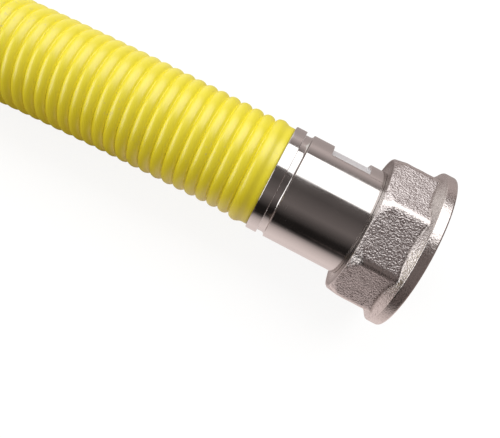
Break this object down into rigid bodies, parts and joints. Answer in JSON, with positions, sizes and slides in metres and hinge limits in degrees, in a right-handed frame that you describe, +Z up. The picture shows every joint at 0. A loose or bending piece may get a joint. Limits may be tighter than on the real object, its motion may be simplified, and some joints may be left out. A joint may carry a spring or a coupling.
{
  "type": "flexible gas hose",
  "caption": "Coated corrugated hose that carries gas between two pipe ends, with a loose union nut and flat gasket at each end.",
  "frame": {"origin": "on the ground straight under the middle of the near fitting, which is the one the picture shows", "axes": "+X along the near fitting's axis, out of its nut's mouth; +Z up; the hose lies on z = 0 and bends towards -Y, where the far fitting's mouth points"},
  "size_m": [0.3491, 0.2713, 0.0538],
  "materials": {
    "yellow_coating": "soft gloss",
    "tube_steel": "drawn, dull",
    "polished_steel": "turned and polished",
    "nut_metal": "nickel plated, rough as cast, rim machined",
    "gasket_fibre": "pressed fibre"
  },
  "bodies": {
    "hose": {"yellow_coating": "yellow_coating", "corrugated_tube": "tube_steel", "near_end_ring": "polished_steel", "near_sleeve": "polished_steel", "near_tail": "polished_steel", "near_gasket": "gasket_fibre", "far_end_ring": "polished_steel", "far_sleeve": "polished_steel", "far_tail": "polished_steel", "far_gasket": "gasket_fibre"},
    "near_nut": {"near_union_nut": "nut_metal"},
    "far_nut": {"far_union_nut": "nut_metal"}
  },
  "joints": [
    {"name": "near_nut_turn", "type": "hinge", "parent": "hose", "child": "near_nut", "pos_m": [0.016, 0, 0.0269], "axis": [1, 0, 0], "continuous": true},
    {"name": "far_nut_turn", "type": "hinge", "parent": "hose", "child": "far_nut", "pos_m": [-0.29605, -0.23415, 0.0269], "axis": [0, -1, 0], "continuous": true}
  ]
}
